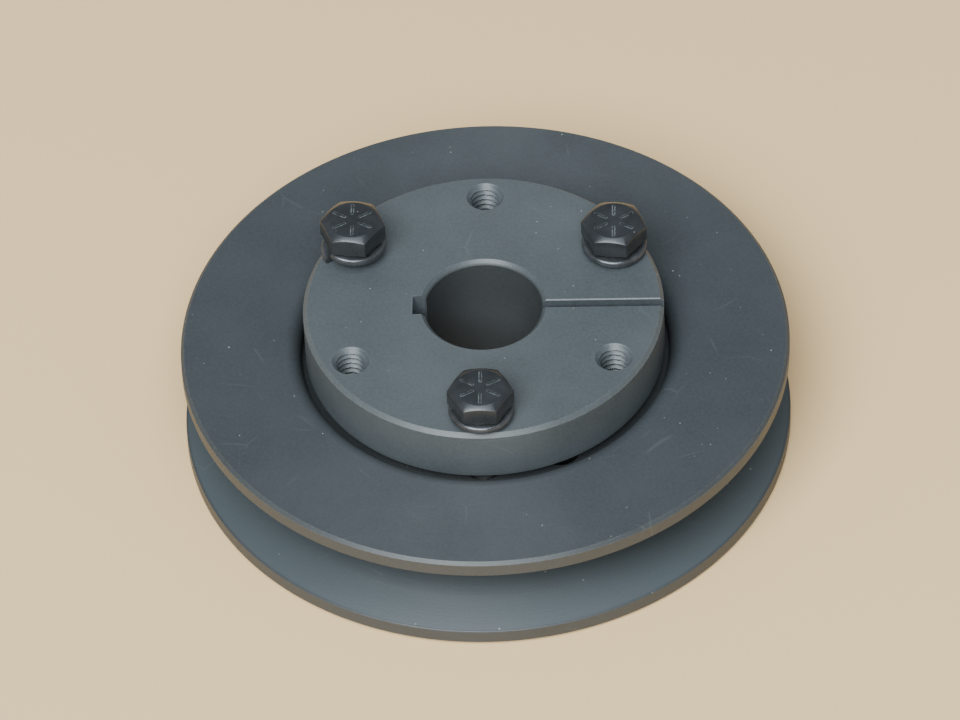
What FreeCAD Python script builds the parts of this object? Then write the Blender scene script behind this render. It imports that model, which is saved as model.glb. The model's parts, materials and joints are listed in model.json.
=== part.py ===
import FreeCAD, Part
import math
import os

# Single-groove V-belt sheave on a quick-detachable split tapered bushing.
# Millimetres. The origin is on the bore axis at the sheave's back face, and +Z runs along the
# bore towards the bushing's flange. The split faces +X and the keyway faces -X.

INCH = 25.4
Vector = FreeCAD.Vector
UP = Vector(0, 0, 1)

# --- driving dimensions: sheave ---
rim_diameter = 4.55 * INCH
face_width = 0.875 * INCH
groove_top_width = 0.612 * INCH
groove_angle = 34.0
groove_floor_width = 5.6
groove_floor_round = 1.2
groove_mouth_round = 0.3
rim_edge_break = 0.6
recess_diameter = 70.0
recess_depth = 0.1875 * INCH
recess_foot_round = 0.6
recess_shoulder_round = 3.2
bore_edge_break = 0.4

# --- driving dimensions: taper shared by the sheave's hub and the bushing's barrel ---
taper_large_diameter = 1.871 * INCH
taper_per_length = 0.75 / 12.0
taper_clearance = 0.03

# --- driving dimensions: bushing ---
bushing_length = 31.5
barrel_setback = 0.175
flange_diameter = 2.6875 * INCH
flange_thickness = 0.4375 * INCH
flange_edge_break = 0.75
flange_back_break = 0.3
neck_round = 0.8
barrel_edge_break = 0.8
shaft_diameter = 0.875 * INCH
shaft_mouth_break = 0.85
shaft_back_break = 0.5
keyway_width = 0.1875 * INCH
keyway_reach = 13.4
split_width = 1.75

# --- driving dimensions: bolt circle and its 1/4-20 screws ---
bolt_circle_diameter = 2.25 * INCH
screw_angles = (30.0, 150.0, 270.0)
jack_hole_angles = (90.0, 210.0, 330.0)
reverse_hole_angles = (60.0, 180.0, 300.0)
screw_diameter = 0.25 * INCH
screw_length = 1.25 * INCH
screw_tip_bevel = 0.7
thread_clearance = 0.05
clearance_hole_diameter = 0.28125 * INCH
tap_drill_diameter = 5.2
countersink_diameter = 7.2
head_across_flats = 0.43 * INCH
head_turns = (-7.0, -7.0, 0.0)
head_height = 4.65
head_top_diameter = 9.15
head_bevel_angle = 30.0
head_collar_diameter = 10.4
head_collar_height = 0.4
grade_line_count = 6
grade_line_inner = 1.5
grade_line_outer = 4.1
grade_line_width = 0.34
grade_line_height = 0.15
grade_line_root = 0.3

# --- driving dimensions: split lock washers, each with its own height and split direction ---
washer_inner_diameter = 6.6
washer_outer_diameter = 12.4
washer_thickness = 1.57
washer_wire_round = 0.6
washer_heights = (2.8, 4.0, 2.55)
washer_split_angles = (75.0, 219.0, 185.0)
washer_split_gap = 14.0
seat_clearance = 0.02

# --- driving dimensions: set screw over the key, #10-24 ---
set_screw_diameter = 0.19 * INCH
set_screw_length = 0.375 * INCH
set_screw_recess = 2.0
set_screw_bevel = 0.4
set_screw_cup_diameter = 2.4
set_screw_cup_depth = 0.6
set_screw_socket = 0.09375 * INCH
set_screw_socket_depth = 3.0
set_screw_mouth_break = 0.5

# --- sizes that follow ---
rim_radius = rim_diameter / 2
hub_face = face_width - recess_depth
groove_flank_run = (groove_top_width - groove_floor_width) / 2
groove_depth = groove_flank_run / math.tan(math.radians(groove_angle / 2))
groove_floor_radius = rim_radius - groove_depth
land_width = (face_width - groove_top_width) / 2
mid_plane = face_width / 2
bolt_circle_radius = bolt_circle_diameter / 2
flange_top = barrel_setback + bushing_length
flange_back = flange_top - flange_thickness
flange_radius = flange_diameter / 2
shaft_radius = shaft_diameter / 2


def taper_radius(height):
    """Radius of the hub's taper at a height above the back face; the large end is at the hub face."""
    return taper_large_diameter / 2 - (hub_face - height) * taper_per_length / 2


def rounded(radius, height, size):
    return (radius, height, "round", size)


def bevelled(radius, height, size):
    return (radius, height, "bevel", size)


def corner_points(before, corner, after):
    """The points where a corner's round or bevel leaves its two straight sides."""
    here = Vector(corner[0], 0, corner[1])
    to_before = (Vector(before[0], 0, before[1]) - here).normalize()
    to_after = (Vector(after[0], 0, after[1]) - here).normalize()
    setback = corner[3]
    if corner[2] == "round":
        setback = corner[3] / math.tan(to_before.getAngle(to_after) / 2)
    return here, here + to_before * setback, here + to_after * setback


def round_edge(here, start, end, radius):
    """A tangent arc across a corner."""
    middle = (start + end) * 0.5
    outwards = (here - middle).normalize()
    to_centre = math.sqrt(radius ** 2 - (start - middle).Length ** 2)
    centre = middle - outwards * to_centre
    return Part.Arc(start, centre + outwards * radius, end).toShape()


def outline_wire(corners):
    """A closed wire in the XZ plane through corners (radius, height), each rounded or bevelled."""
    edges = []
    spans = []
    count = len(corners)
    for index, corner in enumerate(corners):
        before = corners[index - 1]
        after = corners[(index + 1) % count]
        here, start, end = corner_points(before, corner, after)
        if corner[2] == "round":
            edges.append(round_edge(here, start, end, corner[3]))
        elif corner[2] == "bevel":
            edges.append(Part.makeLine(start, end))
        spans.append((start, end))
    for index, (start, end) in enumerate(spans):
        next_start = spans[(index + 1) % count][0]
        edges.append(Part.makeLine(end, next_start))
    return Part.Wire(Part.__sortEdges__(edges))


def turned(corners):
    """Revolve an outline of corners (radius, height) about the bore axis."""
    return Part.Face(outline_wire(corners)).revolve(Vector(0, 0, 0), UP, 360)


def on_bolt_circle(angle, height):
    across = math.radians(angle)
    return Vector(bolt_circle_radius * math.cos(across), bolt_circle_radius * math.sin(across), height)


def bolt_hole(angle, diameter, bottom, top, mouth_diameter=None):
    """A hole tool along Z on the bolt circle, with an optional countersink at its top."""
    overrun = 1.0
    tool = Part.makeCylinder(diameter / 2, top - bottom + 2 * overrun,
                             on_bolt_circle(angle, bottom - overrun))
    if mouth_diameter is None:
        return tool
    depth = (mouth_diameter - diameter) / 2
    cone = Part.makeCone(diameter / 2, mouth_diameter / 2 + overrun, depth + overrun,
                         on_bolt_circle(angle, top - depth))
    return tool.fuse(cone)


def hexagon_prism(across_flats, height, base, first_corner):
    """A hexagonal prism along Z with one corner at a given angle."""
    reach = across_flats / 2 / math.cos(math.radians(30))
    corners = []
    for step in range(7):
        angle = math.radians(first_corner + 60 * step)
        corners.append(base + Vector(reach * math.cos(angle), reach * math.sin(angle), 0))
    return Part.Face(Part.makePolygon(corners)).extrude(Vector(0, 0, height))


def make_sheave():
    """The casting: rim with its belt groove, solid hub, front recess, tapered bore and bolt holes."""
    outline = [
        bevelled(taper_radius(0), 0, bore_edge_break),
        bevelled(rim_radius, 0, rim_edge_break),
        rounded(rim_radius, land_width, groove_mouth_round),
        rounded(groove_floor_radius, mid_plane - groove_floor_width / 2, groove_floor_round),
        rounded(groove_floor_radius, mid_plane + groove_floor_width / 2, groove_floor_round),
        rounded(rim_radius, face_width - land_width, groove_mouth_round),
        bevelled(rim_radius, face_width, rim_edge_break),
        rounded(recess_diameter / 2, face_width, recess_shoulder_round),
        rounded(recess_diameter / 2, hub_face, recess_foot_round),
        bevelled(taper_radius(hub_face), hub_face, bore_edge_break),
    ]
    sheave = turned(outline)
    thread_bore = screw_diameter + 2 * thread_clearance
    for angle in screw_angles:
        sheave = sheave.cut(bolt_hole(angle, thread_bore, 0, hub_face, countersink_diameter))
    for angle in reverse_hole_angles:
        sheave = sheave.cut(bolt_hole(angle, clearance_hole_diameter, 0, hub_face))
    return sheave


def set_screw_bore():
    """The radial hole over the keyway, from the flange's rim into the keyway."""
    height = (flange_top + flange_back) / 2
    radius = set_screw_diameter / 2 + thread_clearance
    outwards = Vector(-1, 0, 0)
    tool = Part.makeCylinder(radius, flange_radius - shaft_radius,
                             Vector(-shaft_radius, 0, height), outwards)
    cone = Part.makeCone(radius, radius + 2 * set_screw_mouth_break, 2 * set_screw_mouth_break,
                         Vector(-flange_radius + set_screw_mouth_break, 0, height), outwards)
    return tool.fuse(cone)


def make_bushing():
    """Tapered barrel and flange, split along +X, with the shaft bore and its keyway."""
    outline = [
        bevelled(shaft_radius, barrel_setback, shaft_back_break),
        bevelled(taper_radius(barrel_setback) - taper_clearance, barrel_setback, barrel_edge_break),
        rounded(taper_radius(flange_back) - taper_clearance, flange_back, neck_round),
        bevelled(flange_radius, flange_back, flange_back_break),
        bevelled(flange_radius, flange_top, flange_edge_break),
        bevelled(shaft_radius, flange_top, shaft_mouth_break),
    ]
    bushing = turned(outline)
    overrun = 1.0
    height = bushing_length + 2 * overrun
    floor = barrel_setback - overrun
    split = Part.makeBox(flange_radius + overrun, split_width, height, Vector(0, -split_width / 2, floor))
    keyway = Part.makeBox(keyway_reach, keyway_width, height,
                          Vector(-keyway_reach, -keyway_width / 2, floor))
    bushing = bushing.cut(split).cut(keyway).cut(set_screw_bore())
    for angle in screw_angles:
        bushing = bushing.cut(bolt_hole(angle, clearance_hole_diameter, flange_back, flange_top))
    for angle in jack_hole_angles:
        bushing = bushing.cut(bolt_hole(angle, tap_drill_diameter, flange_back, flange_top,
                                        countersink_diameter))
    return bushing


def make_cap_screw(angle, seat, head_turn):
    """Hex cap screw whose head sits at a given height; the head carries six raised radial lines."""
    base = on_bolt_circle(angle, seat)
    top = seat + head_height
    prism = hexagon_prism(head_across_flats, head_height - head_collar_height,
                          base + UP * head_collar_height, head_turn)
    corner_reach = head_across_flats / 2 / math.cos(math.radians(30))
    slope = math.tan(math.radians(head_bevel_angle))
    bevel_drop = (corner_reach - head_top_diameter / 2) * slope
    skirt = Part.makeCylinder(corner_reach, head_height - bevel_drop, base)
    crown = Part.makeCone(corner_reach, head_top_diameter / 2, bevel_drop,
                          base + UP * (head_height - bevel_drop))
    head = prism.common(skirt.fuse(crown))
    collar = Part.makeCylinder(head_collar_diameter / 2, head_collar_height, base)
    tip = seat - screw_length
    shank = Part.makeCylinder(screw_diameter / 2, screw_length - screw_tip_bevel,
                              on_bolt_circle(angle, tip + screw_tip_bevel))
    point = Part.makeCone(screw_diameter / 2 - screw_tip_bevel, screw_diameter / 2, screw_tip_bevel,
                          on_bolt_circle(angle, tip))
    screw = head.multiFuse([collar, shank, point])
    line_length = grade_line_outer - grade_line_inner
    for step in range(grade_line_count):
        bar = Part.makeBox(line_length, grade_line_width, grade_line_root + grade_line_height,
                           Vector(grade_line_inner, -grade_line_width / 2, -grade_line_root))
        bar.rotate(Vector(0, 0, 0), UP, 30 + 360.0 * step / grade_line_count)
        bar.translate(on_bolt_circle(angle, top))
        screw = screw.fuse(bar)
    return screw.removeSplitter()


def wire_section(inner, outer):
    """The coil's rectangular section, with its four corners rounded."""
    corners = [(inner, 0), (outer, 0), (outer, washer_thickness), (inner, washer_thickness)]
    return outline_wire([rounded(radius, height, washer_wire_round) for radius, height in corners])


def make_lock_washer(angle, bottom, height, split_angle):
    """One left-hand coil of rectangular wire: it rises to its tip on one side of the split."""
    rise = height - washer_thickness
    turn = 360.0 - washer_split_gap
    inner = washer_inner_diameter / 2
    outer = washer_outer_diameter / 2
    middle = (inner + outer) / 2
    coil = Part.makeHelix(rise * 360.0 / turn, rise, middle, 0, True)
    section = wire_section(inner, outer)
    washer = Part.Wire(coil).makePipeShell([section], True, True)
    washer.rotate(Vector(0, 0, 0), UP, split_angle - washer_split_gap / 2)
    washer.translate(on_bolt_circle(angle, bottom))
    return washer


def make_set_screw():
    """Headless screw with a hex socket outside and a cup point towards the keyway."""
    radius = set_screw_diameter / 2
    straight = set_screw_length - 2 * set_screw_bevel
    body = Part.makeCylinder(radius, straight, Vector(0, 0, set_screw_bevel))
    tip = Part.makeCone(radius - set_screw_bevel, radius, set_screw_bevel)
    top = Part.makeCone(radius, radius - set_screw_bevel, set_screw_bevel,
                        Vector(0, 0, set_screw_length - set_screw_bevel))
    body = body.multiFuse([tip, top])
    cup = Part.makeCone(set_screw_cup_diameter / 2, 0, set_screw_cup_depth)
    socket = hexagon_prism(set_screw_socket, set_screw_socket_depth,
                           Vector(0, 0, set_screw_length - set_screw_socket_depth), 0)
    body = body.cut(cup).cut(socket)
    body.rotate(Vector(0, 0, 0), Vector(0, 1, 0), -90)
    body.translate(Vector(-(flange_radius - set_screw_recess - set_screw_length), 0,
                          (flange_top + flange_back) / 2))
    return body


def build():
    pieces = {"sheave": make_sheave(), "taper_bushing": make_bushing(), "key_set_screw": make_set_screw()}
    for index, angle in enumerate(screw_angles):
        height = washer_heights[index]
        washer_bottom = flange_top + seat_clearance
        seat = washer_bottom + height + seat_clearance
        number = index + 1
        pieces[f"cap_screw_{number}"] = make_cap_screw(angle, seat, head_turns[index])
        pieces[f"lock_washer_{number}"] = make_lock_washer(angle, washer_bottom, height,
                                                           washer_split_angles[index])
    return pieces


os.makedirs("parts", exist_ok=True)
for name, shape in build().items():
    shape.exportStep(f"parts/{name}.step")
    print(name, "volume", round(shape.Volume, 1), "solids", len(shape.Solids), "valid", shape.isValid())
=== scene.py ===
import json
import math

import bmesh
import bpy
from mathutils import Matrix, Vector


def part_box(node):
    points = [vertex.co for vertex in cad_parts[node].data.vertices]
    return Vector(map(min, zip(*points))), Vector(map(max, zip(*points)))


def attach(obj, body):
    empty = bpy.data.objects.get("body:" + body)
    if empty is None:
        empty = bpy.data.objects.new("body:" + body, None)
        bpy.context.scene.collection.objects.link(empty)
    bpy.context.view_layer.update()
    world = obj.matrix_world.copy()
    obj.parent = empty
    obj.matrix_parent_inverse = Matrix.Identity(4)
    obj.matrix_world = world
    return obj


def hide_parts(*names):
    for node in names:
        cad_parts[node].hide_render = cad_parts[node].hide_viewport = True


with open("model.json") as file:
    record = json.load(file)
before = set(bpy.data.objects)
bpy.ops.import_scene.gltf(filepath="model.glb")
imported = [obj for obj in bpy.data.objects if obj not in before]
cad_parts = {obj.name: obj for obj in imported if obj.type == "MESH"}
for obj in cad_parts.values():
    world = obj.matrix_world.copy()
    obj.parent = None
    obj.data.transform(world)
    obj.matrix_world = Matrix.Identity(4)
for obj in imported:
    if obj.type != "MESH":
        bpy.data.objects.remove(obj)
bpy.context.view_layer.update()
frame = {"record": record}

MM = 0.001
INCH = 25.4 * MM
TURN = 2 * math.pi

# ---------------------------------------------------------------- sizes read from the frame

MOUNTS = {mount["name"]: mount for mount in frame["record"]["mounts"]}
SHEAVE_LOW, SHEAVE_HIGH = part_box("sheave")
BUSHING_LOW, BUSHING_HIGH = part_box("taper_bushing")
RIM_RADIUS = (SHEAVE_HIGH[0] - SHEAVE_LOW[0]) / 2
FACE_WIDTH = SHEAVE_HIGH[2]
FLANGE_RADIUS = (BUSHING_HIGH[0] - BUSHING_LOW[0]) / 2
FLANGE_TOP = BUSHING_HIGH[2]
BARREL_END = BUSHING_LOW[2]
SHAFT_RADIUS = MOUNTS["shaft_bore"]["dims"]["r_mm"] * MM
BOLT_CIRCLE_RADIUS = MOUNTS["jack_screw_holes"]["dims"]["pcd_mm"] / 2 * MM

# ---------------------------------------------------------------- sizes of the casting

RECESS_RADIUS = 35.0 * MM
RECESS_SHOULDER = 3.2 * MM
HUB_FACE = FACE_WIDTH - 0.1875 * INCH
GROOVE_TOP_WIDTH = 0.612 * INCH
GROOVE_FLOOR_WIDTH = 5.6 * MM
GROOVE_HALF_ANGLE = math.radians(17)
TAPER_LARGE_RADIUS = 1.871 * INCH / 2
TAPER_SLOPE = 0.03125
TAPER_CLEARANCE = 0.03 * MM

# ---------------------------------------------------------------- sizes of the bushing

FLANGE_THICKNESS = 0.4375 * INCH
FLANGE_BACK = FLANGE_TOP - FLANGE_THICKNESS
KEYWAY_HALF_WIDTH = 0.1875 * INCH / 2
KEYWAY_REACH = 13.4 * MM
SPLIT_HALF_WIDTH = 0.875 * MM
SPLIT_EDGE_BREAK = 0.18 * MM

# ---------------------------------------------------------------- the 1/4-20 hardware

SCREW_ANGLES = {"cap_screw_1": 30, "cap_screw_2": 150, "cap_screw_3": 270}
HEAD_TURNS = {"cap_screw_1": -7, "cap_screw_2": -7, "cap_screw_3": 0}
JACK_HOLE_ANGLES = (90, 210, 330)
REVERSE_HOLE_ANGLES = (60, 180, 300)
WASHER_SPLIT_ANGLES = {"lock_washer_1": 75, "lock_washer_2": 219, "lock_washer_3": 185}
HEAD_ACROSS_FLATS = 0.43 * INCH
HEAD_HEIGHT = 4.65 * MM
HEAD_TOP_RADIUS = 4.575 * MM
SCREW_LENGTH = 1.25 * INCH
THREAD_LENGTH = 0.75 * INCH
PITCH = 0.05 * INCH
MAJOR_RADIUS = 3.1 * MM
MINOR_RADIUS = 2.52 * MM
TAPPED_MAJOR_RADIUS = 3.24 * MM
TAPPED_MINOR_RADIUS = 2.66 * MM
CLEARANCE_RADIUS = 0.28125 * INCH / 2
COUNTERSINK_RADIUS = 3.6 * MM
WASHER_THICKNESS = 1.57 * MM
WASHER_INNER_RADIUS = 3.3 * MM
WASHER_OUTER_RADIUS = 6.2 * MM
SET_SCREW_HOLE_RADIUS = 2.463 * MM
SET_SCREW_MOUTH_RADIUS = 2.95 * MM


# ---------------------------------------------------------------- small mesh helpers


def new_object(name, mesh):
    piece = bpy.data.objects.new(name, mesh)
    bpy.context.scene.collection.objects.link(piece)
    return piece


def from_bmesh(name, shape):
    bmesh.ops.recalc_face_normals(shape, faces=shape.faces)
    mesh = bpy.data.meshes.new(name)
    shape.to_mesh(mesh)
    shape.free()
    return new_object(name, mesh)


def settle(piece):
    """Replace a piece's mesh by what its modifiers make of it, and drop the modifiers."""
    bpy.context.view_layer.update()
    evaluated = piece.evaluated_get(bpy.context.evaluated_depsgraph_get())
    mesh = bpy.data.meshes.new_from_object(evaluated)
    piece.modifiers.clear()
    piece.data = mesh
    return piece


def discard(pieces):
    for piece in pieces:
        bpy.data.objects.remove(piece)


def smooth_by_angle(piece, degrees=28):
    piece.data.shade_smooth()
    piece.data.set_sharp_from_angle(angle=math.radians(degrees))


def corner_arc(before, corner, after, style, size, steps):
    """Points that round or bevel one corner of an outline."""
    here = Vector(corner)
    to_before = (Vector(before) - here).normalized()
    to_after = (Vector(after) - here).normalized()
    half = to_before.angle(to_after) / 2
    setback = size / math.tan(half) if style == "round" else size
    start = here + to_before * setback
    end = here + to_after * setback
    if style == "bevel":
        return [start, end]
    centre = here + (to_before + to_after).normalized() * (size / math.sin(half))
    first = start - centre
    last = end - centre
    sweep = first.angle(last)
    points = []
    for step in range(steps + 1):
        share = step / steps
        mix = first * math.sin((1 - share) * sweep) + last * math.sin(share * sweep)
        points.append(centre + mix / math.sin(sweep))
    return points


def worked_outline(corners, steps=6):
    """Corners (radius, height, style, size) become plain points, with their rounds and bevels."""
    points = []
    for index, (radius, height, style, size) in enumerate(corners):
        before = corners[index - 1][:2]
        after = corners[(index + 1) % len(corners)][:2]
        points += corner_arc(before, (radius, height), after, style, size, steps)
    return points


def turned(name, corners, segments, steps=6):
    """A closed outline revolved about Z."""
    shape = bmesh.new()
    points = worked_outline(corners, steps)
    rings = []
    for segment in range(segments):
        angle = TURN * segment / segments
        rings.append([shape.verts.new((p.x * math.cos(angle), p.x * math.sin(angle), p.y)) for p in points])
    for segment in range(segments):
        here = rings[segment]
        beside = rings[(segment + 1) % segments]
        for index in range(len(points)):
            following = (index + 1) % len(points)
            shape.faces.new((here[index], beside[index], beside[following], here[following]))
    return from_bmesh(name, shape)


def prism(name, outline, axis, start, end):
    """A flat outline of (u, v) points pushed along an axis: u, v are Y, Z for X, and X, Y for Z."""
    shape = bmesh.new()
    ends = []
    for along in (start, end):
        if axis == "X":
            ends.append([shape.verts.new((along, u, v)) for u, v in outline])
        else:
            ends.append([shape.verts.new((u, v, along)) for u, v in outline])
    shape.faces.new(ends[0])
    shape.faces.new(ends[1])
    for index in range(len(outline)):
        following = (index + 1) % len(outline)
        shape.faces.new((ends[0][index], ends[0][following], ends[1][following], ends[1][index]))
    return from_bmesh(name, shape)


def cut(piece, cutters):
    """Take the cutters out of a piece in one exact boolean."""
    tools = bpy.data.collections.new(piece.name + "_tools")
    for tool in cutters:
        tools.objects.link(tool)
    modifier = piece.modifiers.new("cut", "BOOLEAN")
    modifier.operation = "DIFFERENCE"
    modifier.operand_type = "COLLECTION"
    modifier.collection = tools
    modifier.solver = "EXACT"
    settle(piece)
    discard(cutters)
    bpy.data.collections.remove(tools)


def on_bolt_circle(degrees, height=0.0):
    angle = math.radians(degrees)
    return Vector((BOLT_CIRCLE_RADIUS * math.cos(angle), BOLT_CIRCLE_RADIUS * math.sin(angle), height))


# ---------------------------------------------------------------- geometry node trees


class Tree:
    """A geometry node tree under construction, with named sizes as its inputs."""

    def __init__(self, name, sizes, counts=()):
        self.tree = bpy.data.node_groups.new(name, "GeometryNodeTree")
        self.tree.interface.new_socket("Geometry", in_out="OUTPUT", socket_type="NodeSocketGeometry")
        for label in sizes:
            self.tree.interface.new_socket(label, in_out="INPUT", socket_type="NodeSocketFloat")
        for label in counts:
            self.tree.interface.new_socket(label, in_out="INPUT", socket_type="NodeSocketInt")
        self.tree.interface.new_socket("Place", in_out="INPUT", socket_type="NodeSocketVector")
        self.tree.interface.new_socket("Finish", in_out="INPUT", socket_type="NodeSocketMaterial")
        self.size = self.tree.nodes.new("NodeGroupInput").outputs

    def node(self, kind, inputs=None, **settings):
        made = self.tree.nodes.new(kind)
        for key, setting in settings.items():
            setattr(made, key, setting)
        for key, source in (inputs or {}).items():
            self.feed(made.inputs[key], source)
        return made

    def feed(self, socket, source):
        if isinstance(source, bpy.types.NodeSocket):
            self.tree.links.new(source, socket)
        else:
            socket.default_value = source

    def math(self, operation, *terms):
        return self.node("ShaderNodeMath", dict(enumerate(terms)), operation=operation).outputs[0]

    def total(self, *terms):
        result = terms[0]
        for term in terms[1:]:
            result = self.math("ADD", result, term)
        return result

    def ramp(self, value, low, high, at_low=0.0, at_high=1.0):
        made = self.node("ShaderNodeMapRange", {0: value, 1: low, 2: high, 3: at_low, 4: at_high})
        return made.outputs[0]

    def place_parts(self):
        return self.node("ShaderNodeSeparateXYZ", {0: self.size["Place"]}).outputs

    def position_parts(self):
        position = self.node("GeometryNodeInputPosition").outputs[0]
        return self.node("ShaderNodeSeparateXYZ", {0: position}).outputs

    def vector(self, x, y, z):
        return self.node("ShaderNodeCombineXYZ", {0: x, 1: y, 2: z}).outputs[0]

    def moved(self, geometry, offset):
        made = self.node("GeometryNodeTransform", {"Geometry": geometry, "Translation": offset})
        return made.outputs[0]

    def set_position(self, geometry, position):
        return self.node("GeometryNodeSetPosition", {"Geometry": geometry, "Position": position}).outputs[0]

    def polar(self, angle, radius, height):
        """A point at an angle and radius from the tree's place, at an absolute height."""
        place = self.place_parts()
        x = self.math("MULTIPLY_ADD", self.math("COSINE", angle), radius, place[0])
        y = self.math("MULTIPLY_ADD", self.math("SINE", angle), radius, place[1])
        return self.vector(x, y, height)

    def finish(self, parts):
        join = self.node("GeometryNodeJoinGeometry")
        for part in parts:
            self.tree.links.new(part, join.inputs[0])
        real = self.node("GeometryNodeRealizeInstances", {0: join.outputs[0]})
        finished = self.node("GeometryNodeSetMaterial", {"Geometry": real.outputs[0],
                                                         "Material": self.size["Finish"]})
        out = self.tree.nodes.new("NodeGroupOutput")
        self.tree.links.new(finished.outputs[0], out.inputs[0])
        return self.tree


def threaded_rod_tree():
    """A rod with a helical thread between two heights, a bevelled tip and an optional flared mouth."""
    t = Tree("threaded_rod", ("Radius", "Root Radius", "Length", "Pitch", "Thread Start", "Thread End",
                              "Tip Bevel", "Mouth Radius", "Mouth Height"), ("Facets", "Rows"))
    rod = t.node("GeometryNodeMeshCylinder", {"Vertices": t.size["Facets"], "Side Segments": t.size["Rows"],
                                              "Radius": t.size["Radius"], "Depth": t.size["Length"]})
    half = t.vector(0, 0, t.math("DIVIDE", t.size["Length"], 2))
    standing = t.moved(t.moved(rod.outputs[0], half), t.size["Place"])
    place = t.place_parts()
    here = t.position_parts()
    angle = t.math("ARCTAN2", t.math("SUBTRACT", here[1], place[1]), t.math("SUBTRACT", here[0], place[0]))
    turns = t.math("SUBTRACT", t.math("DIVIDE", here[2], t.size["Pitch"]), t.math("DIVIDE", angle, TURN))
    phase = t.math("FRACT", turns)
    wave = t.math("MULTIPLY", t.math("ABSOLUTE", t.math("SUBTRACT", phase, 0.5)), 2)
    flank = t.ramp(wave, 0.14, 0.86)
    runout = t.math("MULTIPLY", t.size["Pitch"], 0.7)
    begins = t.ramp(here[2], t.math("SUBTRACT", t.size["Thread Start"], runout), t.size["Thread Start"])
    ends = t.ramp(here[2], t.size["Thread End"], t.math("ADD", t.size["Thread End"], runout), 1, 0)
    depth = t.math("SUBTRACT", t.size["Radius"], t.size["Root Radius"])
    cut_in = t.math("MULTIPLY", t.math("MULTIPLY", begins, ends), t.math("MULTIPLY", flank, depth))
    radius = t.math("SUBTRACT", t.size["Radius"], cut_in)
    above_tip = t.math("SUBTRACT", here[2], place[2])
    tip = t.total(t.math("SUBTRACT", t.size["Radius"], t.size["Tip Bevel"]), above_tip)
    radius = t.math("MINIMUM", radius, tip)
    mouth = t.total(t.size["Mouth Radius"], t.math("SUBTRACT", here[2], t.size["Mouth Height"]))
    radius = t.math("MAXIMUM", radius, mouth)
    return t.finish([t.set_position(standing, t.polar(angle, radius, here[2]))])


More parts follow.
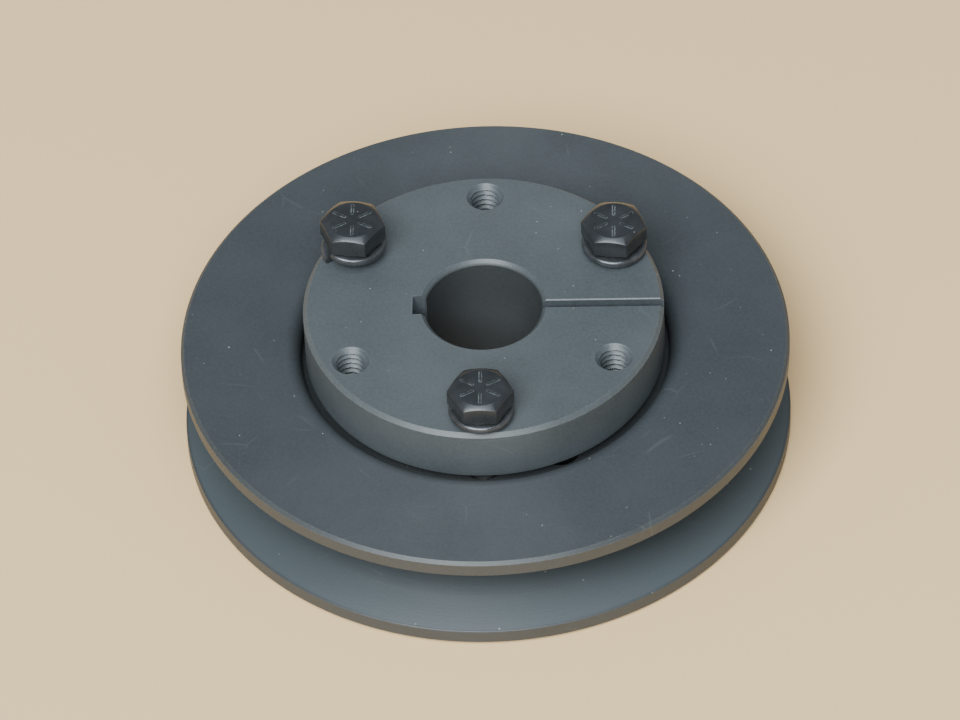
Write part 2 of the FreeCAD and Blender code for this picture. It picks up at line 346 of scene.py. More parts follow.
def cap_screw_tree(rod_tree):
    """Hex cap screw: crowned head with radial grade lines, washer face, shank and thread."""
    t = Tree("cap_screw", ("Across Flats", "Head Height", "Crown Radius", "Crown Slope", "Collar Radius",
                           "Collar Height", "Head Turn", "Line Inner", "Line Outer", "Line Width",
                           "Line Height", "Radius", "Root Radius", "Length", "Pitch", "Thread Length",
                           "Tip Bevel"),
             ("Lines", "Facets", "Rows"))
    place = t.place_parts()
    seat = t.math("ADD", place[2], t.size["Length"])
    top = t.math("ADD", seat, t.size["Head Height"])
    rings = 4
    unit = t.node("GeometryNodeMeshCylinder", {"Vertices": 144, "Side Segments": 1, "Fill Segments": rings,
                                               "Radius": 1.0, "Depth": 1.0}, fill_type="TRIANGLE_FAN")
    here = t.position_parts()
    squares = [t.math("MULTIPLY", here[axis], here[axis]) for axis in (0, 1)]
    reach = t.math("SQRT", t.total(*squares))
    angle = t.math("ARCTAN2", here[1], here[0])
    sixths = t.math("ADD", t.math("DIVIDE", angle, TURN / 6), 6)
    sixth = t.math("MULTIPLY", t.math("FRACT", sixths), TURN / 6)
    off_flat = t.math("SUBTRACT", sixth, TURN / 12)
    flat = t.math("DIVIDE", t.math("DIVIDE", t.size["Across Flats"], 2), t.math("COSINE", off_flat))
    at_edge = t.math("GREATER_THAN", reach, 0.9)
    inner = t.math("MULTIPLY", t.math("DIVIDE", reach, 1 - 1 / rings), t.size["Crown Radius"])
    radius = t.total(inner, t.math("MULTIPLY", at_edge, t.math("SUBTRACT", flat, inner)))
    past_crown = t.math("MAXIMUM", t.math("SUBTRACT", radius, t.size["Crown Radius"]), 0)
    drop = t.math("MULTIPLY", past_crown, t.size["Crown Slope"])
    upper = t.math("SUBTRACT", top, drop)
    lower = t.math("ADD", seat, t.size["Collar Height"])
    is_top = t.math("GREATER_THAN", here[2], 0)
    height = t.total(lower, t.math("MULTIPLY", is_top, t.math("SUBTRACT", upper, lower)))
    facing = t.math("ADD", angle, t.size["Head Turn"])
    head = t.set_position(unit.outputs[0], t.polar(facing, radius, height))
    edge_angle = t.node("GeometryNodeInputMeshEdgeAngle").outputs[0]
    weight = t.math("GREATER_THAN", edge_angle, 0.3)
    marked = t.node("GeometryNodeStoreNamedAttribute", {"Geometry": head, "Name": "bevel_weight_edge",
                                                        "Value": weight}, data_type="FLOAT", domain="EDGE")
    collar = t.node("GeometryNodeMeshCylinder", {"Vertices": 96, "Radius": t.size["Collar Radius"],
                                                 "Depth": t.math("MULTIPLY", t.size["Collar Height"], 2)})
    collar = t.moved(collar.outputs[0], t.vector(place[0], place[1], lower))
    spoke_reach = t.math("DIVIDE", t.total(t.size["Line Inner"], t.size["Line Outer"]), 2)
    spots = t.node("GeometryNodeMeshCircle", {"Vertices": t.size["Lines"], "Radius": spoke_reach})
    spots = t.node("GeometryNodeTransform", {"Geometry": spots.outputs[0], "Rotation": (0, 0, TURN / 12)})
    bar = t.node("GeometryNodeMeshCube", {"Size": t.vector(
        t.math("SUBTRACT", t.size["Line Outer"], t.size["Line Inner"]), t.size["Line Width"],
        t.math("MULTIPLY", t.size["Line Height"], 2))})
    bar_mark = t.node("GeometryNodeStoreNamedAttribute", {"Geometry": bar.outputs[0], "Value": 0.7,
                                                          "Name": "bevel_weight_edge"},
                      data_type="FLOAT", domain="EDGE")
    heading = t.math("ARCTAN2", t.position_parts()[1], t.position_parts()[0])
    lines = t.node("GeometryNodeInstanceOnPoints", {"Points": spots.outputs[0],
                                                    "Instance": bar_mark.outputs[0],
                                                    "Rotation": t.vector(0, 0, heading)})
    lines = t.moved(lines.outputs[0], t.vector(place[0], place[1], top))
    thread_start = t.math("ADD", place[2], t.math("MULTIPLY", t.size["Pitch"], 0.2))
    shank = t.node("GeometryNodeGroup", node_tree=rod_tree)
    for label in ("Radius", "Root Radius", "Length", "Pitch", "Tip Bevel", "Facets", "Rows", "Place",
                  "Finish"):
        t.feed(shank.inputs[label], t.size[label])
    t.feed(shank.inputs["Thread Start"], thread_start)
    t.feed(shank.inputs["Thread End"], t.math("ADD", place[2], t.size["Thread Length"]))
    t.feed(shank.inputs["Mouth Height"], 1.0)
    return t.finish([marked.outputs[0], collar, lines, shank.outputs[0]])


def lock_washer_tree():
    """One left-hand coil of rounded rectangular wire, high on one side of its split."""
    t = Tree("lock_washer", ("Coil Radius", "Wire Width", "Wire Thickness", "Corner Round", "Rise",
                             "Split Angle", "Gap Angle"), ("Steps",))
    line = t.node("GeometryNodeCurvePrimitiveLine")
    path = t.node("GeometryNodeResampleCurve", {"Curve": line.outputs[0], "Count": t.size["Steps"]})
    along = t.node("GeometryNodeSplineParameter").outputs[0]
    start = t.math("ADD", t.size["Split Angle"], t.math("DIVIDE", t.size["Gap Angle"], 2))
    sweep = t.math("SUBTRACT", TURN, t.size["Gap Angle"])
    angle = t.math("MULTIPLY_ADD", along, sweep, start)
    place = t.place_parts()
    middle = t.total(place[2], t.math("DIVIDE", t.size["Wire Thickness"], 2))
    height = t.math("MULTIPLY_ADD", t.math("SUBTRACT", 1, along), t.size["Rise"], middle)
    coil = t.set_position(path.outputs[0], t.polar(angle, t.size["Coil Radius"], height))
    upright = t.node("GeometryNodeSetCurveNormal", {"Curve": coil})
    if hasattr(upright, "mode"):
        upright.mode = "Z_UP"
    section = t.node("GeometryNodeCurvePrimitiveQuadrilateral", {"Width": t.size["Wire Width"],
                                                                 "Height": t.size["Wire Thickness"]})
    rounded = t.node("GeometryNodeFilletCurve", {"Curve": section.outputs[0], "Count": 6,
                                                 "Radius": t.size["Corner Round"]}, mode="POLY")
    wire = t.node("GeometryNodeCurveToMesh", {"Curve": upright.outputs[0], "Fill Caps": True,
                                              "Profile Curve": rounded.outputs[0]})
    return t.finish([wire.outputs[0]])


def grown(name, tree, finish=None, **sizes):
    """A plain mesh made by a geometry node tree with the given sizes."""
    piece = new_object(name, bpy.data.meshes.new(name))
    modifier = piece.modifiers.new("grow", "NODES")
    modifier.node_group = tree
    wanted = {label.replace("_", " "): setting for label, setting in sizes.items()}
    wanted["Finish"] = finish
    for item in tree.interface.items_tree:
        if item.item_type == "SOCKET" and item.in_out == "INPUT":
            key = item.name if item.name in wanted else item.name.lower()
            if key in wanted and wanted[key] is not None:
                modifier[item.identifier] = wanted[key]
    return settle(piece)


# ---------------------------------------------------------------- shared shader effects


class Effect:
    """A shader node group under construction. It gives out masks and heights only."""

    def __init__(self, name, inputs, outputs):
        self.tree = bpy.data.node_groups.new(name, "ShaderNodeTree")
        for label, setting in inputs.items():
            made = self.tree.interface.new_socket(label, in_out="INPUT", socket_type="NodeSocketFloat")
            made.default_value = setting
        for label in outputs:
            self.tree.interface.new_socket(label, in_out="OUTPUT", socket_type="NodeSocketFloat")
        self.size = self.tree.nodes.new("NodeGroupInput").outputs
        self.out = self.tree.nodes.new("NodeGroupOutput").inputs

    def node(self, kind, inputs=None, **settings):
        made = self.tree.nodes.new(kind)
        for key, setting in settings.items():
            setattr(made, key, setting)
        for key, source in (inputs or {}).items():
            self.feed(made.inputs[key], source)
        return made

    def feed(self, socket, source):
        if isinstance(source, bpy.types.NodeSocket):
            self.tree.links.new(source, socket)
        else:
            socket.default_value = source

    def math(self, operation, *terms, clamp=False):
        made = self.node("ShaderNodeMath", dict(enumerate(terms)), operation=operation, use_clamp=clamp)
        return made.outputs[0]

    def ramp(self, value, low, high, at_low=0.0, at_high=1.0):
        span = {0: value, 1: low, 2: high, 3: at_low, 4: at_high}
        return self.node("ShaderNodeMapRange", span).outputs[0]

    def place(self):
        return self.node("ShaderNodeTexCoord").outputs["Object"]

    def round_place(self):
        """Distance from the bore axis, and height above the back face."""
        parts = self.node("ShaderNodeSeparateXYZ", {0: self.place()}).outputs
        squares = [self.math("MULTIPLY", parts[axis], parts[axis]) for axis in (0, 1)]
        return self.math("SQRT", self.math("ADD", *squares)), parts[2]

    def short_of(self, label, amount):
        """One of the group's sizes, less a small amount."""
        return self.math("SUBTRACT", self.size[label], amount)

    def noise(self, per_metre, detail=2.0, rough=0.5, place=None):
        return self.node("ShaderNodeTexNoise", {"Vector": place or self.place(), "Scale": per_metre,
                                                "Detail": detail, "Roughness": rough}).outputs[0]


def grain_effect():
    """Fine matt grain of a turned and phosphated surface: a height, and slow and quick tone changes."""
    e = Effect("fine_grain", {"Grains Per Metre": 2600.0, "Clouds Per Metre": 55.0},
               ("Height", "Speckle", "Cloud"))
    coarse = e.noise(e.size["Grains Per Metre"], 3.0, 0.6)
    e.feed(e.out["Height"], coarse)
    quick = e.noise(e.math("MULTIPLY", e.size["Grains Per Metre"], 0.62), 2.0, 0.7)
    e.feed(e.out["Speckle"], e.ramp(quick, 0.3, 0.7))
    e.feed(e.out["Cloud"], e.ramp(e.noise(e.size["Clouds Per Metre"], 3.0, 0.55), 0.3, 0.7))
    return e.tree


def turning_effect():
    """Faint concentric tool marks about the bore axis."""
    e = Effect("turning_marks", {"Marks Per Metre": 2600.0}, ("Height",))
    reach, height = e.round_place()
    bands = e.node("ShaderNodeCombineXYZ", {0: reach, 1: height, 2: 0.0}).outputs[0]
    e.feed(e.out["Height"], e.noise(e.size["Marks Per Metre"], 2.0, 0.6, bands))
    return e.tree


def edge_effect():
    """Where an outside edge is paler: rubbed wear, together with a painted highlight along the edge."""
    e = Effect("edge_wear_and_highlight", {"Reach": 0.0005, "Break Up Per Metre": 900.0, "Start": 0.03, "Full": 0.3},
               ("Mask",))
    soft = e.node("ShaderNodeBevel", {"Radius": e.size["Reach"]}, samples=6).outputs[0]
    hard = e.node("ShaderNodeNewGeometry").outputs["Normal"]
    same = e.node("ShaderNodeVectorMath", {0: soft, 1: hard}, operation="DOT_PRODUCT").outputs["Value"]
    bent = e.ramp(e.math("SUBTRACT", 1.0, same), e.size["Start"], e.size["Full"])
    broken = e.ramp(e.noise(e.size["Break Up Per Metre"], 3.0, 0.65), 0.35, 0.6)
    e.feed(e.out["Mask"], e.math("MULTIPLY", bent, broken))
    return e.tree


def dust_effect():
    """Specks of pale dust and small bright nicks, most of them on surfaces that face up."""
    e = Effect("dust_and_nicks", {"Specks Per Metre": 700.0, "Amount": 0.5}, ("Dust", "Nicks"))
    cells = e.node("ShaderNodeTexVoronoi", {"Vector": e.place(), "Scale": e.size["Specks Per Metre"],
                                            "Randomness": 1.0})
    hue = e.node("ShaderNodeSeparateColor", {0: cells.outputs["Color"]}).outputs
    limit = e.math("MULTIPLY", e.math("POWER", hue[0], 3.0), 0.14)
    dot = e.math("LESS_THAN", cells.outputs["Distance"], limit)
    chosen = e.math("LESS_THAN", hue[1], e.math("MULTIPLY", e.size["Amount"], 0.5))
    up = e.node("ShaderNodeSeparateXYZ", {0: e.node("ShaderNodeNewGeometry").outputs["Normal"]}).outputs[2]
    facing = e.ramp(up, 0.1, 0.9)
    e.feed(e.out["Dust"], e.math("MULTIPLY", e.math("MULTIPLY", dot, chosen), facing))
    nick = e.noise(e.math("MULTIPLY", e.size["Specks Per Metre"], 0.9), 4.0, 0.75)
    e.feed(e.out["Nicks"], e.ramp(nick, 0.735, 0.775))
    return e.tree


def scuff_effect():
    """A few thin handling scratches that run in no one direction."""
    e = Effect("scuffs", {"Per Metre": 60.0}, ("Mask",))
    bends = e.node("ShaderNodeTexNoise", {"Vector": e.place(), "Scale": 40.0, "Detail": 1.0})
    wander = bends.outputs["Color"]
    pushed = e.node("ShaderNodeVectorMath", {0: wander, 1: (0.02, 0.02, 0.0), 2: e.place()},
                    operation="MULTIPLY_ADD").outputs[0]
    lines = e.node("ShaderNodeTexVoronoi", {"Vector": pushed, "Scale": e.size["Per Metre"]},
                   feature="DISTANCE_TO_EDGE").outputs["Distance"]
    thin = e.ramp(lines, 0.0, 0.012, 1.0, 0.0)
    patches = e.ramp(e.noise(95.0, 1.0), 0.56, 0.66)
    e.feed(e.out["Mask"], e.math("MULTIPLY", thin, patches))
    return e.tree


def painted_shade_effect():
    """Painted shade: the colour darkened down in the recess and all through the bore, where shade falls."""
    e = Effect("painted_recess_and_bore_shade", {"Face": 22.0 * MM, "Recess Reach": 38.0 * MM, "Recess Floor": 17.0 * MM,
                               "Bore Radius": 11.0 * MM}, ("Mask",))
    reach, height = e.round_place()
    near = e.ramp(reach, e.short_of("Recess Reach", 2.2 * MM), e.size["Recess Reach"], 1.0, 0.0)
    deep = e.ramp(height, e.short_of("Face", 2.5 * MM), e.short_of("Face", 0.3 * MM), 1.0, 0.0)
    above = e.ramp(height, e.short_of("Recess Floor", 3.0 * MM), e.short_of("Recess Floor", 1.0 * MM))
    recess = e.math("MULTIPLY", e.math("MULTIPLY", near, deep), above)
    bore_end = e.short_of("Bore Radius", -0.4 * MM)
    bore = e.ramp(reach, e.short_of("Bore Radius", -0.1 * MM), bore_end, 1.0, 0.0)
    e.feed(e.out["Mask"], e.math("MAXIMUM", e.math("MULTIPLY", recess, 0.5), e.math("MULTIPLY", bore, 0.6)))
    return e.tree


def groove_light_effect():
    """Painted light: where the two sides of the groove are given a lighter tone."""
    e = Effect("painted_groove_light", {"Rim Radius": 58.0 * MM, "Groove Low": 3.4 * MM, "Groove High": 19.0 * MM},
               ("Mask",))
    reach, height = e.round_place()
    outside = e.math("GREATER_THAN", reach, e.short_of("Rim Radius", 19.0 * MM))
    rim_start = e.short_of("Rim Radius", 0.6 * MM)
    under_rim = e.ramp(reach, rim_start, e.short_of("Rim Radius", 0.2 * MM), 1.0, 0.0)
    between = e.math("MULTIPLY", e.math("GREATER_THAN", height, e.size["Groove Low"]),
                     e.math("LESS_THAN", height, e.size["Groove High"]))
    e.feed(e.out["Mask"], e.math("MULTIPLY", between, e.math("MULTIPLY", outside, under_rim)))
    return e.tree


EFFECTS = {"grain": grain_effect(), "painted_shade": painted_shade_effect(), "turning": turning_effect(), "edge": edge_effect(),
           "dust": dust_effect(), "scuffs": scuff_effect(), "groove_light": groove_light_effect()}


class Finish:
    """One material: a Principled shader whose colour and roughness are layered by masks."""

    def __init__(self, name, metallic, specular, anisotropic=0.0):
        self.material = bpy.data.materials.new(name)
        self.material.use_nodes = True
        self.nodes = self.material.node_tree.nodes
        self.links = self.material.node_tree.links
        self.shader = self.nodes["Principled BSDF"]
        self.shader.inputs["Metallic"].default_value = metallic
        self.shader.inputs["Specular IOR Level"].default_value = specular
        self.shader.inputs["Anisotropic"].default_value = anisotropic
        self.shader.inputs["Anisotropic Rotation"].default_value = 0.25

    def effect(self, kind, **sizes):
        made = self.nodes.new("ShaderNodeGroup")
        made.node_tree = EFFECTS[kind]
        for label, setting in sizes.items():
            made.inputs[label.replace("_", " ")].default_value = setting
        return made.outputs

    def mix(self, factor, first, second):
        made = self.nodes.new("ShaderNodeMix")
        made.data_type = "RGBA"
        for socket, source in ((made.inputs[0], factor), (made.inputs[6], first), (made.inputs[7], second)):
            if isinstance(source, bpy.types.NodeSocket):
                self.links.new(source, socket)
            elif isinstance(source, tuple):
                socket.default_value = (*source, 1.0)
            else:
                socket.default_value = source
        return made.outputs[2]

    def math(self, operation, *terms):
        made = self.nodes.new("ShaderNodeMath")
        made.operation = operation
        for index, term in enumerate(terms):
            if isinstance(term, bpy.types.NodeSocket):
                self.links.new(term, made.inputs[index])
            else:
                made.inputs[index].default_value = term
        return made.outputs[0]

    def upward(self, vector):
        """The upright part of a vector."""
        parts = self.nodes.new("ShaderNodeSeparateXYZ")
        self.links.new(vector, parts.inputs[0])
        return parts.outputs[2]

    def below(self, height):
        """1 under a height of the CAD frame and 0 over it."""
        place = self.nodes.new("ShaderNodeTexCoord").outputs["Object"]
        return self.math("LESS_THAN", self.upward(place), height)

    def facing_up(self):
        """1 on level surfaces that face up and 0 on all others."""
        normal = self.nodes.new("ShaderNodeNewGeometry").outputs["Normal"]
        return self.math("GREATER_THAN", self.upward(normal), 0.98)

    def relief(self, height, distance, strength=1.0, under=None):
        made = self.nodes.new("ShaderNodeBump")
        made.inputs["Distance"].default_value = distance
        made.inputs["Strength"].default_value = strength
        self.links.new(height, made.inputs["Height"])
        if under is not None:
            self.links.new(under, made.inputs["Normal"])
        return made.outputs[0]

    def out(self, label, source):
        self.links.new(source, self.shader.inputs[label])


def iron_finish(name, dark, light, roughness, turned, groove_light_tone=None):
    """Turned cast iron with a black phosphate finish, and painted shade down in the recess and the bore."""
    f = Finish(name, 0.0, 0.7, turned)
    wear_and_highlight_tone = (0.34, 0.41, 0.44)
    grain = f.effect("grain")
    edge = f.effect("edge")
    dust = f.effect("dust")
    scuffs = f.effect("scuffs")
    painted_shade = f.effect("painted_shade", Face=FACE_WIDTH, Recess_Reach=RECESS_RADIUS + RECESS_SHOULDER,
                   Recess_Floor=HUB_FACE, Bore_Radius=SHAFT_RADIUS)
    tone = f.mix(grain["Cloud"], dark, light)
    if groove_light_tone is not None:
        # painted light: the groove's sides lightened and tinted blue
        groove_light = f.effect("groove_light", Rim_Radius=RIM_RADIUS, Groove_High=FACE_WIDTH - 3.4 * MM)
        tone = f.mix(f.math("MULTIPLY", groove_light["Mask"], 0.85), tone, groove_light_tone)
    bright = tuple(channel * 1.45 for channel in light)
    tone = f.mix(f.math("MULTIPLY", grain["Speckle"], 0.35), tone, bright)
    tone = f.mix(f.math("MULTIPLY", scuffs["Mask"], 0.06), tone, wear_and_highlight_tone)
    # edges paler: rubbed wear and painted highlight
    tone = f.mix(f.math("MULTIPLY", edge["Mask"], 0.32), tone, wear_and_highlight_tone)
    tone = f.mix(f.math("MULTIPLY", dust["Nicks"], 0.35), tone, wear_and_highlight_tone)
    tone = f.mix(f.math("MULTIPLY", dust["Dust"], 0.55), tone, (0.42, 0.42, 0.40))
    # painted shade: near-black colour down in the recess and through the bore
    tone = f.mix(painted_shade["Mask"], tone, (0.011, 0.011, 0.010))
    f.out("Base Color", tone)
    rough = f.math("MULTIPLY_ADD", grain["Cloud"], 0.08, roughness)
    f.out("Roughness", f.math("MULTIPLY_ADD", painted_shade["Mask"], 0.35, rough))
    marks = f.effect("turning")["Height"]
    under = f.relief(marks, 0.00004, 0.5)
    f.out("Normal", f.relief(grain["Height"], 0.00004, 0.7, under))
    return f.material


def screw_finish():
    """Black oxide on steel: nearly black with a soft gloss, paler where upward edges have rubbed and with a
    painted highlight there, and with painted shade on the shank below the flange top.
    """
    f = Finish("screw_black_oxide", 0.3, 0.62)
    grain = f.effect("grain", Grains_Per_Metre=3400.0, Clouds_Per_Metre=260.0)
    edge = f.effect("edge", Reach=0.0004, Start=0.02, Full=0.25)
    dust = f.effect("dust", Specks_Per_Metre=800.0, Amount=0.6)
    tone = f.mix(grain["Cloud"], (0.022, 0.025, 0.029), (0.040, 0.044, 0.050))
    shank = f.below(FLANGE_TOP)
    # paler upward edges of the crown and the grade lines: rubbed wear and painted highlight
    lines = f.math("MULTIPLY", edge["Mask"], f.facing_up())
    tone = f.mix(f.math("MULTIPLY", lines, 0.9), tone, (0.42, 0.47, 0.48))
    tone = f.mix(f.math("MULTIPLY", dust["Dust"], 0.45), tone, (0.4, 0.4, 0.38))
    # painted shade: the shank below the flange top is near-black, as it stands in shade down in the holes
    # and the gap
    tone = f.mix(shank, tone, (0.014, 0.014, 0.014))
    f.out("Base Color", tone)
    rough = f.math("MULTIPLY_ADD", grain["Cloud"], 0.10, 0.25)
    f.out("Roughness", f.math("MULTIPLY_ADD", shank, 0.3, rough))
    f.out("Normal", f.relief(grain["Height"], 0.00002, 0.4))
    return f.material


def washer_finish():
    """Spring steel, dark, with a satin lustre, and its rolled edges paler from wear and a painted
    highlight.
    """
    f = Finish("washer_spring_steel", 0.6, 0.5)
    grain = f.effect("grain", Grains_Per_Metre=3000.0, Clouds_Per_Metre=320.0)
    edge = f.effect("edge", Reach=0.0003, Start=0.04, Full=0.4)
    tone = f.mix(grain["Cloud"], (0.06, 0.064, 0.07), (0.12, 0.128, 0.14))
    # rolled edges paler: wear and painted highlight
    tone = f.mix(f.math("MULTIPLY", edge["Mask"], 0.15), tone, (0.30, 0.34, 0.37))
    f.out("Base Color", tone)
    f.out("Roughness", f.math("MULTIPLY_ADD", grain["Cloud"], 0.12, 0.22))
    f.out("Normal", f.relief(grain["Height"], 0.00002, 0.5))
    return f.material


# the sheave's third tone is painted light on the sides of its groove
SHEAVE_FINISH = iron_finish("sheave_phosphated_iron", dark=(0.035, 0.041, 0.046),
                            light=(0.043, 0.051, 0.057), roughness=0.45, turned=0.55,
                            groove_light_tone=(0.066, 0.083, 0.092))
BUSHING_FINISH = iron_finish("bushing_phosphated_iron", dark=(0.053, 0.063, 0.069),
                             light=(0.072, 0.084, 0.091), roughness=0.42, turned=0.3)
SCREW_FINISH = screw_finish()
WASHER_FINISH = washer_finish()


# ---------------------------------------------------------------- the pieces

ROD_TREE = threaded_rod_tree()
SCREW_TREE = cap_screw_tree(ROD_TREE)
WASHER_TREE = lock_washer_tree()


def taper_radius(height):
    return TAPER_LARGE_RADIUS - (HUB_FACE - height) * TAPER_SLOPE


def dress(piece, finish, body):
    """Give a finished piece its material and its body, and hide the CAD node that it stands for."""
    piece.data.materials.clear()
    piece.data.materials.append(finish)
    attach(piece, body)
    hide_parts(body)


def round_cutter(name, place, radius, length, mouth_height=1.0, mouth_radius=0.0):
    """A plain round cutter standing on its place, flared above its mouth height."""
    return grown(name, ROD_TREE, radius=radius, root_radius=radius, length=length, pitch=PITCH,
                 thread_start=0.0, thread_end=0.0, tip_bevel=0.0, mouth_radius=mouth_radius,
                 mouth_height=mouth_height, facets=64, rows=60, place=place)


def tap_cutter(name, place, length, mouth_height):
    """A cutter with the form of a tapped 1/4-20 hole and its countersink."""
    return grown(name, ROD_TREE, radius=TAPPED_MAJOR_RADIUS, root_radius=TAPPED_MINOR_RADIUS, length=length,
                 pitch=PITCH, thread_start=-1.0, thread_end=1.0, tip_bevel=0.0,
                 mouth_radius=COUNTERSINK_RADIUS, mouth_height=mouth_height, facets=48,
                 rows=int(length / PITCH * 12), place=place)


def weigh_normals(piece):
    modifier = piece.modifiers.new("even_shading", "WEIGHTED_NORMAL")
    modifier.keep_sharp = True
    settle(piece)


def make_sheave():
    middle = FACE_WIDTH / 2
    land = (FACE_WIDTH - GROOVE_TOP_WIDTH) / 2
    depth = (GROOVE_TOP_WIDTH - GROOVE_FLOOR_WIDTH) / 2 / math.tan(GROOVE_HALF_ANGLE)
    floor_radius = RIM_RADIUS - depth
    half_floor = GROOVE_FLOOR_WIDTH / 2
    sheave = turned("sheave_casting", [
        (taper_radius(0), 0.0, "bevel", 0.4 * MM),
        (RIM_RADIUS, 0.0, "bevel", 0.6 * MM),
        (RIM_RADIUS, land, "round", 0.3 * MM),
        (floor_radius, middle - half_floor, "round", 1.2 * MM),
        (floor_radius, middle + half_floor, "round", 1.2 * MM),
        (RIM_RADIUS, FACE_WIDTH - land, "round", 0.3 * MM),
        (RIM_RADIUS, FACE_WIDTH, "bevel", 0.6 * MM),
        (RECESS_RADIUS, FACE_WIDTH, "round", RECESS_SHOULDER),
        (RECESS_RADIUS, HUB_FACE, "round", 0.6 * MM),
        (taper_radius(HUB_FACE), HUB_FACE, "bevel", 0.4 * MM),
    ], 360, 8)
    overrun = 1.0 * MM
    cutters = []
    for number, degrees in enumerate(SCREW_ANGLES.values()):
        place = on_bolt_circle(degrees, -overrun)
        cutters.append(tap_cutter(f"hub_tap_{number}", place, HUB_FACE + 2 * overrun, HUB_FACE))
    for number, degrees in enumerate(REVERSE_HOLE_ANGLES):
        place = on_bolt_circle(degrees, -overrun)
        cutters.append(round_cutter(f"hub_drill_{number}", place, CLEARANCE_RADIUS, HUB_FACE + 2 * overrun,
                                    HUB_FACE, CLEARANCE_RADIUS + 0.3 * MM))
    cut(sheave, cutters)
    smooth_by_angle(sheave)
    weigh_normals(sheave)
    dress(sheave, SHEAVE_FINISH, "sheave")


def split_cutter():
    """The saw cut through one side of the bushing, with its top edges broken."""
    lip = SPLIT_EDGE_BREAK
    overrun = 1.0 * MM
    outline = [
        (-SPLIT_HALF_WIDTH, BARREL_END - overrun),
        (SPLIT_HALF_WIDTH, BARREL_END - overrun),
        (SPLIT_HALF_WIDTH, FLANGE_TOP - lip),
        (SPLIT_HALF_WIDTH + lip + overrun, FLANGE_TOP + overrun),
        (-SPLIT_HALF_WIDTH - lip - overrun, FLANGE_TOP + overrun),
        (-SPLIT_HALF_WIDTH, FLANGE_TOP - lip),
    ]
    return prism("split_tool", outline, "X", 0.0, FLANGE_RADIUS + overrun)


def keyway_cutter():
    overrun = 1.0 * MM
    outline = [
        (-KEYWAY_HALF_WIDTH, BARREL_END - overrun),
        (KEYWAY_HALF_WIDTH, BARREL_END - overrun),
        (KEYWAY_HALF_WIDTH, FLANGE_TOP + overrun),
        (-KEYWAY_HALF_WIDTH, FLANGE_TOP + overrun),
    ]
    return prism("keyway_tool", outline, "X", -KEYWAY_REACH, 0.0)


def set_screw_cutter():
    """The radial hole over the keyway."""
    height = (FLANGE_TOP + FLANGE_BACK) / 2
    length = FLANGE_RADIUS - SHAFT_RADIUS + 1.0 * MM
    tool = round_cutter("set_screw_tool", Vector((0, 0, 0)), SET_SCREW_HOLE_RADIUS, length,
                        length - 1.0 * MM, SET_SCREW_MOUTH_RADIUS)
    tool.data.transform(Matrix.Translation((-SHAFT_RADIUS, 0, height)) @ Matrix.Rotation(-TURN / 4, 4, "Y"))
    return tool


def make_bushing():
    bushing = turned("split_taper_bushing", [
        (SHAFT_RADIUS, BARREL_END, "bevel", 0.5 * MM),
        (taper_radius(BARREL_END) - TAPER_CLEARANCE, BARREL_END, "bevel", 0.8 * MM),
        (taper_radius(FLANGE_BACK) - TAPER_CLEARANCE, FLANGE_BACK, "round", 0.8 * MM),
        (FLANGE_RADIUS, FLANGE_BACK, "bevel", 0.3 * MM),
        (FLANGE_RADIUS, FLANGE_TOP, "bevel", 0.75 * MM),
        (SHAFT_RADIUS, FLANGE_TOP, "bevel", 0.85 * MM),
    ], 300)
    overrun = 1.0 * MM
    length = FLANGE_THICKNESS + 2 * overrun
    cutters = [split_cutter(), keyway_cutter(), set_screw_cutter()]
    for number, degrees in enumerate(SCREW_ANGLES.values()):
        place = on_bolt_circle(degrees, FLANGE_BACK - overrun)
        cutters.append(round_cutter(f"flange_drill_{number}", place, CLEARANCE_RADIUS, length, FLANGE_TOP,
                                    CLEARANCE_RADIUS + 0.2 * MM))
    for number, degrees in enumerate(JACK_HOLE_ANGLES):
        place = on_bolt_circle(degrees, FLANGE_BACK - overrun)
        cutters.append(tap_cutter(f"flange_tap_{number}", place, length, FLANGE_TOP))
    cut(bushing, cutters)
    smooth_by_angle(bushing)
    weigh_normals(bushing)
    dress(bushing, BUSHING_FINISH, "taper_bushing")


def break_edges(piece, width, segments=2):
    """Round only the edges that the tree has marked."""
    modifier = piece.modifiers.new("edges", "BEVEL")
    modifier.limit_method = "WEIGHT"
    modifier.width = width
    modifier.segments = segments
    settle(piece)


def make_cap_screws():
    for name, degrees in SCREW_ANGLES.items():
        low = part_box(name)[0]
        screw = grown(name + "_forged", SCREW_TREE, SCREW_FINISH, across_flats=HEAD_ACROSS_FLATS,
                      head_height=HEAD_HEIGHT, crown_radius=HEAD_TOP_RADIUS,
                      crown_slope=math.tan(math.radians(30)), collar_radius=5.2 * MM,
                      collar_height=0.4 * MM, head_turn=math.radians(HEAD_TURNS[name]),
                      line_inner=1.5 * MM, line_outer=4.1 * MM, line_width=0.34 * MM,
                      line_height=0.15 * MM, lines=6, radius=MAJOR_RADIUS, root_radius=MINOR_RADIUS,
                      length=SCREW_LENGTH, pitch=PITCH, thread_length=THREAD_LENGTH, tip_bevel=0.7 * MM,
                      facets=48, rows=300, place=on_bolt_circle(degrees, low[2]))
        break_edges(screw, 0.10 * MM)
        smooth_by_angle(screw, 35)
        dress(screw, SCREW_FINISH, name)


def make_lock_washers():
    for name, split in WASHER_SPLIT_ANGLES.items():
        low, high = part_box(name)
        degrees = SCREW_ANGLES[name.replace("lock_washer", "cap_screw")]
        washer = grown(name + "_coil", WASHER_TREE, WASHER_FINISH,
                       coil_radius=(WASHER_INNER_RADIUS + WASHER_OUTER_RADIUS) / 2,
                       wire_width=WASHER_OUTER_RADIUS - WASHER_INNER_RADIUS,
                       wire_thickness=WASHER_THICKNESS, corner_round=0.6 * MM,
                       rise=high[2] - low[2] - WASHER_THICKNESS,
                       split_angle=math.radians(split), gap_angle=math.radians(14), steps=121,
                       place=on_bolt_circle(degrees, low[2]))
        smooth_by_angle(washer, 40)
        dress(washer, WASHER_FINISH, name)


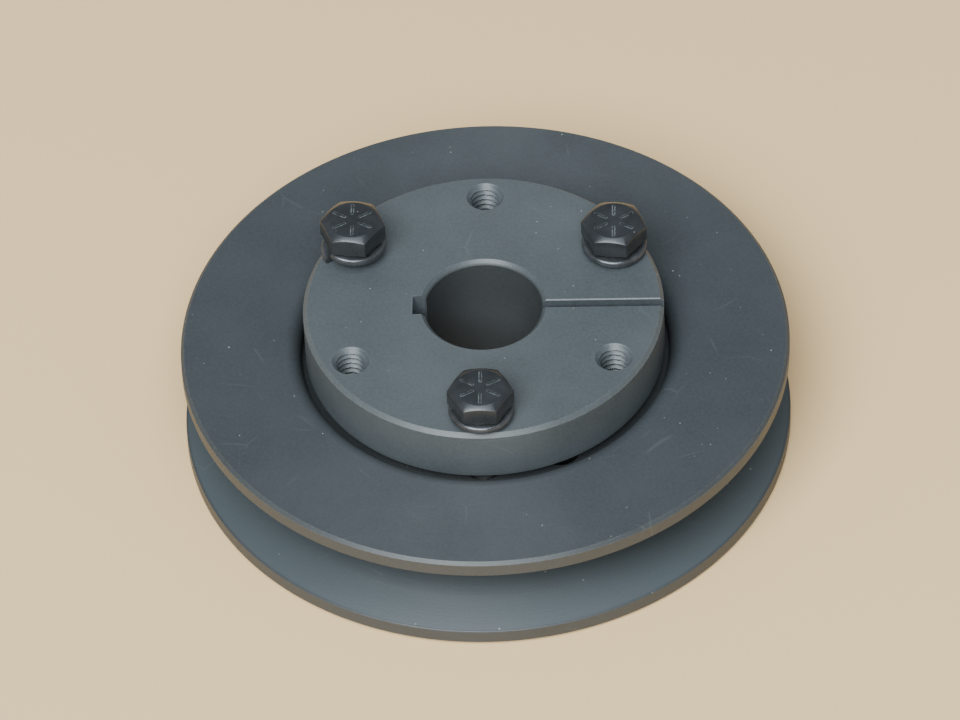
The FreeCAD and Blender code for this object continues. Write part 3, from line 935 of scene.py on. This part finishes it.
def make_set_screw():
    """Headless 10-24 socket screw, lying along -X in the flange."""
    low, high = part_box("key_set_screw")
    length = high[0] - low[0]
    radius = (high[2] - low[2]) / 2
    screw = grown("key_set_screw_cut", ROD_TREE, SCREW_FINISH, radius=radius, root_radius=radius - 0.5 * MM,
                  length=length, pitch=INCH / 24, thread_start=0.3 * MM, thread_end=length - 0.3 * MM,
                  tip_bevel=0.5 * MM, mouth_radius=0.0, mouth_height=1.0, facets=48, rows=110,
                  place=Vector((0, 0, 0)))
    across = 0.09375 * INCH
    corner = across / 2 / math.cos(TURN / 12)
    hexagon = [(corner * math.cos(TURN * k / 6), corner * math.sin(TURN * k / 6)) for k in range(6)]
    cut(screw, [prism("socket_tool", hexagon, "Z", length - 3.0 * MM, length + 1.0 * MM)])
    screw.data.transform(Matrix.Translation((high[0], 0, (low[2] + high[2]) / 2))
                         @ Matrix.Rotation(-TURN / 4, 4, "Y"))
    smooth_by_angle(screw, 35)
    dress(screw, SCREW_FINISH, "key_set_screw")


make_sheave()
make_bushing()
make_cap_screws()
make_lock_washers()
make_set_screw()


# ---------------------------------------------------------------- floor, light and camera


def make_floor():
    half = 3.0
    mesh = bpy.data.meshes.new("floor")
    corners = [(-half, -half, 0), (half, -half, 0), (half, half, 0), (-half, half, 0)]
    mesh.from_pydata(corners, [], [(0, 1, 2, 3)])
    floor = new_object("floor", mesh)
    material = bpy.data.materials.new("floor_pale")
    material.use_nodes = True
    shader = material.node_tree.nodes["Principled BSDF"]
    shader.inputs["Base Color"].default_value = (0.90, 0.62, 0.32, 1)
    shader.inputs["Roughness"].default_value = 0.85
    shader.inputs["Specular IOR Level"].default_value = 0.2
    mesh.materials.append(material)


def soft_light(name, place, aim, width, height, power, colour):
    lamp = bpy.data.lights.new(name, "AREA")
    lamp.shape = "RECTANGLE"
    lamp.size = width
    lamp.size_y = height
    lamp.energy = power
    lamp.color = colour
    holder = bpy.data.objects.new(name, lamp)
    bpy.context.scene.collection.objects.link(holder)
    holder.location = place
    holder.rotation_euler = (Vector(aim) - Vector(place)).to_track_quat("-Z", "Y").to_euler()


def make_light():
    """A broad main light behind the camera, a small one overhead and a dim room."""
    aim = (0, 0, 20 * MM)
    soft_light("overhead", (-0.05, -0.4, 1.1), aim, width=0.9, height=0.8, power=8.0,
               colour=(0.86, 0.95, 1.0))
    soft_light("key", (-0.45, -1.6, 1.85), aim, width=1.9, height=1.3, power=92.0,
               colour=(0.90, 0.965, 1.0))
    world = bpy.data.worlds.new("studio")
    world.use_nodes = True
    world.node_tree.nodes["Background"].inputs["Color"].default_value = (0.95, 0.98, 1.0, 1)
    world.node_tree.nodes["Background"].inputs["Strength"].default_value = 0.28
    bpy.context.scene.world = world


def make_camera():
    """A long lens a good way off, looking down at the face from the front."""
    azimuth = math.radians(2.75)
    elevation = math.radians(46.29)
    roll = math.radians(-2.78)
    distance = 1.689
    aim = Vector((-0.86 * MM, -5.55 * MM, FACE_WIDTH))
    back = Vector((math.sin(azimuth) * math.cos(elevation), -math.cos(azimuth) * math.cos(elevation),
                   math.sin(elevation)))
    level = Vector((math.cos(azimuth), math.sin(azimuth), 0))
    upright = back.cross(level)
    right = math.cos(roll) * level + math.sin(roll) * upright
    above = back.cross(right)
    camera = bpy.data.cameras.new("camera")
    camera.lens = 334.7
    camera.sensor_width = 36.0
    camera.clip_start = 0.05
    holder = bpy.data.objects.new("camera", camera)
    bpy.context.scene.collection.objects.link(holder)
    turn = Matrix((right, above, back)).transposed().to_4x4()
    holder.matrix_world = Matrix.Translation(aim + back * distance) @ turn
    bpy.context.scene.camera = holder


make_floor()
make_light()
make_camera()
